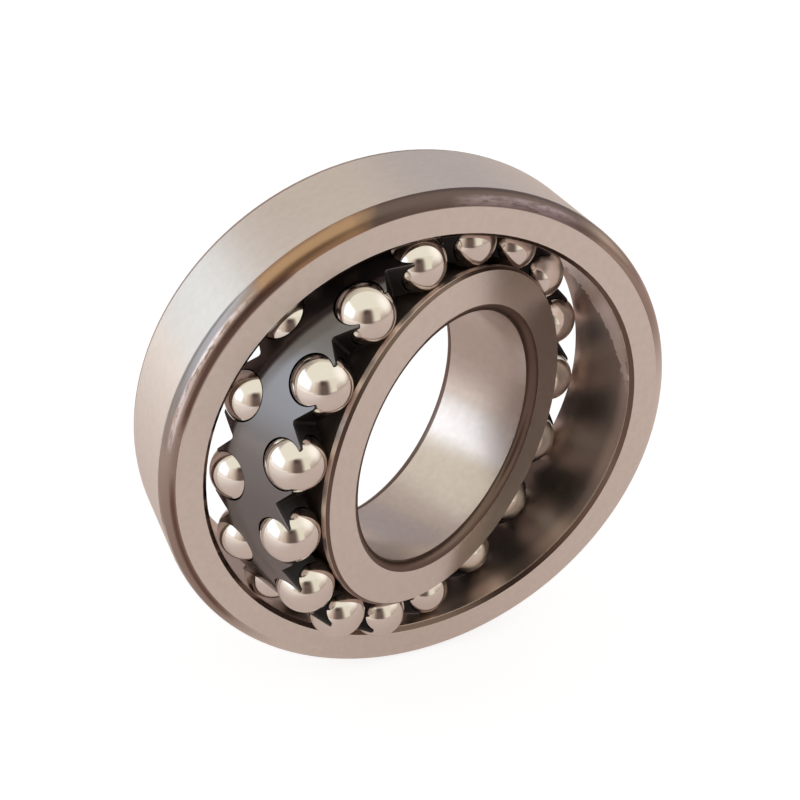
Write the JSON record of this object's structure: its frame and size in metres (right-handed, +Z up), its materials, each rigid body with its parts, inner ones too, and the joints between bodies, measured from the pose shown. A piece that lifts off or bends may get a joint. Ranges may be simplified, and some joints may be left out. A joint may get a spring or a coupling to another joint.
{
  "type": "self-aligning ball bearing",
  "caption": "Double-row self-aligning ball bearing with a spherical outer raceway, one-piece snap cage and inner ring, shown swivelled out of line.",
  "frame": {"origin": "centre of the spherical raceway, on the outer ring's axis halfway through its width", "axes": "+Y along the outer ring's axis from its front face to its back face, +Z up with the outer ring standing on its rim, +X to the right seen from the front"},
  "size_m": [0.08, 0.0438, 0.08],
  "materials": {
    "ring_steel": "ground satin",
    "ball_steel": "polished mirror",
    "cage_polymer": "moulded, semi-gloss"
  },
  "bodies": {
    "outer_ring": {"outer_ring": "ring_steel"},
    "inner_ring": {"inner_ring": "ring_steel"},
    "cage": {"cage": "cage_polymer"},
    "ball_front_01": {"ball_front_01": "ball_steel"},
    "ball_front_02": {"ball_front_02": "ball_steel"},
    "ball_front_03": {"ball_front_03": "ball_steel"},
    "ball_front_04": {"ball_front_04": "ball_steel"},
    "ball_front_05": {"ball_front_05": "ball_steel"},
    "ball_front_06": {"ball_front_06": "ball_steel"},
    "ball_front_07": {"ball_front_07": "ball_steel"},
    "ball_front_08": {"ball_front_08": "ball_steel"},
    "ball_front_09": {"ball_front_09": "ball_steel"},
    "ball_front_10": {"ball_front_10": "ball_steel"},
    "ball_front_11": {"ball_front_11": "ball_steel"},
    "ball_front_12": {"ball_front_12": "ball_steel"},
    "ball_front_13": {"ball_front_13": "ball_steel"},
    "ball_front_14": {"ball_front_14": "ball_steel"},
    "ball_front_15": {"ball_front_15": "ball_steel"},
    "ball_front_16": {"ball_front_16": "ball_steel"},
    "ball_front_17": {"ball_front_17": "ball_steel"},
    "ball_rear_01": {"ball_rear_01": "ball_steel"},
    "ball_rear_02": {"ball_rear_02": "ball_steel"},
    "ball_rear_03": {"ball_rear_03": "ball_steel"},
    "ball_rear_04": {"ball_rear_04": "ball_steel"},
    "ball_rear_05": {"ball_rear_05": "ball_steel"},
    "ball_rear_06": {"ball_rear_06": "ball_steel"},
    "ball_rear_07": {"ball_rear_07": "ball_steel"},
    "ball_rear_08": {"ball_rear_08": "ball_steel"},
    "ball_rear_09": {"ball_rear_09": "ball_steel"},
    "ball_rear_10": {"ball_rear_10": "ball_steel"},
    "ball_rear_11": {"ball_rear_11": "ball_steel"},
    "ball_rear_12": {"ball_rear_12": "ball_steel"},
    "ball_rear_13": {"ball_rear_13": "ball_steel"},
    "ball_rear_14": {"ball_rear_14": "ball_steel"},
    "ball_rear_15": {"ball_rear_15": "ball_steel"},
    "ball_rear_16": {"ball_rear_16": "ball_steel"},
    "ball_rear_17": {"ball_rear_17": "ball_steel"}
  },
  "joints": [
    {"name": "swivel", "type": "hinge", "parent": "outer_ring", "child": "ball_front_10", "pos_m": [0, 0, 0], "axis": [0, 0, 1], "range_deg": [-56.5, 3.5]},
    {"name": "tilt", "type": "hinge", "parent": "ball_front_10", "child": "cage", "pos_m": [0, 0, 0], "axis": [-0.8087, -0.5832, -0.0772], "range_deg": [-30, 30]},
    {"name": "inner_ring_spin", "type": "hinge", "parent": "cage", "child": "inner_ring", "pos_m": [0, 0, 0], "axis": [-0.4462, 0.8949, 0], "continuous": true},
    {"name": "ball_front_01_spin", "type": "hinge", "parent": "cage", "child": "ball_front_01", "pos_m": [0.02888, 0.00893, -0.00319], "axis": [-0.297, 0.9547, -0.0171], "continuous": true},
    {"name": "ball_front_02_spin", "type": "hinge", "parent": "cage", "child": "ball_front_02", "pos_m": [0.02811, 0.00854, 0.0078], "axis": [-0.3012, 0.9527, 0.0419], "continuous": true},
    {"name": "ball_front_03_spin", "type": "hinge", "parent": "cage", "child": "ball_front_03", "pos_m": [0.02384, 0.00641, 0.01774], "axis": [-0.3241, 0.9412, 0.0953], "continuous": true},
    {"name": "ball_front_04_spin", "type": "hinge", "parent": "cage", "child": "ball_front_04", "pos_m": [0.01664, 0.00282, 0.02528], "axis": [-0.3628, 0.9219, 0.1358], "continuous": true},
    {"name": "ball_front_05_spin", "type": "hinge", "parent": "cage", "child": "ball_front_05", "pos_m": [0.00749, -0.00174, 0.02941], "axis": [-0.4119, 0.8974, 0.1579], "continuous": true},
    {"name": "ball_front_06_spin", "type": "hinge", "parent": "cage", "child": "ball_front_06", "pos_m": [-0.00238, -0.00666, 0.02956], "axis": [-0.4649, 0.871, 0.1588], "continuous": true},
    {"name": "ball_front_07_spin", "type": "hinge", "parent": "cage", "child": "ball_front_07", "pos_m": [-0.01163, -0.01127, 0.02573], "axis": [-0.5145, 0.8463, 0.1382], "continuous": true},
    {"name": "ball_front_08_spin", "type": "hinge", "parent": "cage", "child": "ball_front_08", "pos_m": [-0.01901, -0.01495, 0.01841], "axis": [-0.5542, 0.8265, 0.0989], "continuous": true},
    {"name": "ball_front_09_spin", "type": "hinge", "parent": "cage", "child": "ball_front_09", "pos_m": [-0.02353, -0.0172, 0.00861], "axis": [-0.5785, 0.8144, 0.0463], "continuous": true},
    {"name": "ball_front_11_spin", "type": "hinge", "parent": "cage", "child": "ball_front_11", "pos_m": [-0.02201, -0.01645, -0.01299], "axis": [-0.5703, 0.8185, -0.0698], "continuous": true},
    {"name": "ball_front_12_spin", "type": "hinge", "parent": "cage", "child": "ball_front_12", "pos_m": [-0.01618, -0.01354, -0.02188], "axis": [-0.539, 0.8341, -0.1175], "continuous": true},
    {"name": "ball_front_13_spin", "type": "hinge", "parent": "cage", "child": "ball_front_13", "pos_m": [-0.00786, -0.00939, -0.02782], "axis": [-0.4943, 0.8563, -0.1494], "continuous": true},
    {"name": "ball_front_14_spin", "type": "hinge", "parent": "cage", "child": "ball_front_14", "pos_m": [0.00181, -0.00457, -0.03], "axis": [-0.4424, 0.8822, -0.1611], "continuous": true},
    {"name": "ball_front_15_spin", "type": "hinge", "parent": "cage", "child": "ball_front_15", "pos_m": [0.01153, 0.00028, -0.02812], "axis": [-0.3902, 0.9083, -0.151], "continuous": true},
    {"name": "ball_front_16_spin", "type": "hinge", "parent": "cage", "child": "ball_front_16", "pos_m": [0.01999, 0.0045, -0.02245], "axis": [-0.3447, 0.9309, -0.1206], "continuous": true},
    {"name": "ball_front_17_spin", "type": "hinge", "parent": "cage", "child": "ball_front_17", "pos_m": [0.02605, 0.00751, -0.01375], "axis": [-0.3122, 0.9471, -0.0738], "continuous": true},
    {"name": "ball_rear_01_spin", "type": "hinge", "parent": "cage", "child": "ball_rear_01", "pos_m": [0.02458, 0.01773, 0.00235], "axis": [-0.5841, 0.8116, -0.0126], "continuous": true},
    {"name": "ball_rear_02_spin", "type": "hinge", "parent": "cage", "child": "ball_rear_02", "pos_m": [0.02201, 0.01645, 0.01299], "axis": [-0.5703, 0.8185, -0.0698], "continuous": true},
    {"name": "ball_rear_03_spin", "type": "hinge", "parent": "cage", "child": "ball_rear_03", "pos_m": [0.01618, 0.01354, 0.02188], "axis": [-0.539, 0.8341, -0.1175], "continuous": true},
    {"name": "ball_rear_04_spin", "type": "hinge", "parent": "cage", "child": "ball_rear_04", "pos_m": [0.00786, 0.00939, 0.02782], "axis": [-0.4943, 0.8563, -0.1494], "continuous": true},
    {"name": "ball_rear_05_spin", "type": "hinge", "parent": "cage", "child": "ball_rear_05", "pos_m": [-0.00181, 0.00457, 0.03], "axis": [-0.4424, 0.8822, -0.1611], "continuous": true},
    {"name": "ball_rear_06_spin", "type": "hinge", "parent": "cage", "child": "ball_rear_06", "pos_m": [-0.01153, -0.00028, 0.02812], "axis": [-0.3902, 0.9083, -0.151], "continuous": true},
    {"name": "ball_rear_07_spin", "type": "hinge", "parent": "cage", "child": "ball_rear_07", "pos_m": [-0.01999, -0.0045, 0.02245], "axis": [-0.3447, 0.9309, -0.1206], "continuous": true},
    {"name": "ball_rear_08_spin", "type": "hinge", "parent": "cage", "child": "ball_rear_08", "pos_m": [-0.02605, -0.00751, 0.01375], "axis": [-0.3122, 0.9471, -0.0738], "continuous": true},
    {"name": "ball_rear_09_spin", "type": "hinge", "parent": "cage", "child": "ball_rear_09", "pos_m": [-0.02888, -0.00893, 0.00319], "axis": [-0.297, 0.9547, -0.0171], "continuous": true},
    {"name": "ball_rear_10_spin", "type": "hinge", "parent": "cage", "child": "ball_rear_10", "pos_m": [-0.02811, -0.00854, -0.0078], "axis": [-0.3012, 0.9527, 0.0419], "continuous": true},
    {"name": "ball_rear_11_spin", "type": "hinge", "parent": "cage", "child": "ball_rear_11", "pos_m": [-0.02384, -0.00641, -0.01774], "axis": [-0.3241, 0.9412, 0.0953], "continuous": true},
    {"name": "ball_rear_12_spin", "type": "hinge", "parent": "cage", "child": "ball_rear_12", "pos_m": [-0.01664, -0.00282, -0.02528], "axis": [-0.3628, 0.9219, 0.1358], "continuous": true},
    {"name": "ball_rear_13_spin", "type": "hinge", "parent": "cage", "child": "ball_rear_13", "pos_m": [-0.00749, 0.00174, -0.02941], "axis": [-0.4119, 0.8974, 0.1579], "continuous": true},
    {"name": "ball_rear_14_spin", "type": "hinge", "parent": "cage", "child": "ball_rear_14", "pos_m": [0.00238, 0.00666, -0.02956], "axis": [-0.4649, 0.871, 0.1588], "continuous": true},
    {"name": "ball_rear_15_spin", "type": "hinge", "parent": "cage", "child": "ball_rear_15", "pos_m": [0.01163, 0.01127, -0.02573], "axis": [-0.5145, 0.8463, 0.1382], "continuous": true},
    {"name": "ball_rear_16_spin", "type": "hinge", "parent": "cage", "child": "ball_rear_16", "pos_m": [0.01901, 0.01495, -0.01841], "axis": [-0.5542, 0.8265, 0.0989], "continuous": true},
    {"name": "ball_rear_17_spin", "type": "hinge", "parent": "cage", "child": "ball_rear_17", "pos_m": [0.02353, 0.0172, -0.00861], "axis": [-0.5785, 0.8144, 0.0463], "continuous": true}
  ],
  "couplings": [
    {"joint": "ball_front_01_spin", "follows": "inner_ring_spin", "ratio": -6.2125},
    {"joint": "ball_front_02_spin", "follows": "inner_ring_spin", "ratio": -6.2125},
    {"joint": "ball_front_03_spin", "follows": "inner_ring_spin", "ratio": -6.2125},
    {"joint": "ball_front_04_spin", "follows": "inner_ring_spin", "ratio": -6.2125},
    {"joint": "ball_front_05_spin", "follows": "inner_ring_spin", "ratio": -6.2125},
    {"joint": "ball_front_06_spin", "follows": "inner_ring_spin", "ratio": -6.2125},
    {"joint": "ball_front_07_spin", "follows": "inner_ring_spin", "ratio": -6.2125},
    {"joint": "ball_front_08_spin", "follows": "inner_ring_spin", "ratio": -6.2125},
    {"joint": "ball_front_09_spin", "follows": "inner_ring_spin", "ratio": -6.2125},
    {"joint": "ball_front_11_spin", "follows": "inner_ring_spin", "ratio": -6.2125},
    {"joint": "ball_front_12_spin", "follows": "inner_ring_spin", "ratio": -6.2125},
    {"joint": "ball_front_13_spin", "follows": "inner_ring_spin", "ratio": -6.2125},
    {"joint": "ball_front_14_spin", "follows": "inner_ring_spin", "ratio": -6.2125},
    {"joint": "ball_front_15_spin", "follows": "inner_ring_spin", "ratio": -6.2125},
    {"joint": "ball_front_16_spin", "follows": "inner_ring_spin", "ratio": -6.2125},
    {"joint": "ball_front_17_spin", "follows": "inner_ring_spin", "ratio": -6.2125},
    {"joint": "ball_rear_01_spin", "follows": "inner_ring_spin", "ratio": -6.2125},
    {"joint": "ball_rear_02_spin", "follows": "inner_ring_spin", "ratio": -6.2125},
    {"joint": "ball_rear_03_spin", "follows": "inner_ring_spin", "ratio": -6.2125},
    {"joint": "ball_rear_04_spin", "follows": "inner_ring_spin", "ratio": -6.2125},
    {"joint": "ball_rear_05_spin", "follows": "inner_ring_spin", "ratio": -6.2125},
    {"joint": "ball_rear_06_spin", "follows": "inner_ring_spin", "ratio": -6.2125},
    {"joint": "ball_rear_07_spin", "follows": "inner_ring_spin", "ratio": -6.2125},
    {"joint": "ball_rear_08_spin", "follows": "inner_ring_spin", "ratio": -6.2125},
    {"joint": "ball_rear_09_spin", "follows": "inner_ring_spin", "ratio": -6.2125},
    {"joint": "ball_rear_10_spin", "follows": "inner_ring_spin", "ratio": -6.2125},
    {"joint": "ball_rear_11_spin", "follows": "inner_ring_spin", "ratio": -6.2125},
    {"joint": "ball_rear_12_spin", "follows": "inner_ring_spin", "ratio": -6.2125},
    {"joint": "ball_rear_13_spin", "follows": "inner_ring_spin", "ratio": -6.2125},
    {"joint": "ball_rear_14_spin", "follows": "inner_ring_spin", "ratio": -6.2125},
    {"joint": "ball_rear_15_spin", "follows": "inner_ring_spin", "ratio": -6.2125},
    {"joint": "ball_rear_16_spin", "follows": "inner_ring_spin", "ratio": -6.2125},
    {"joint": "ball_rear_17_spin", "follows": "inner_ring_spin", "ratio": -6.2125}
  ]
}
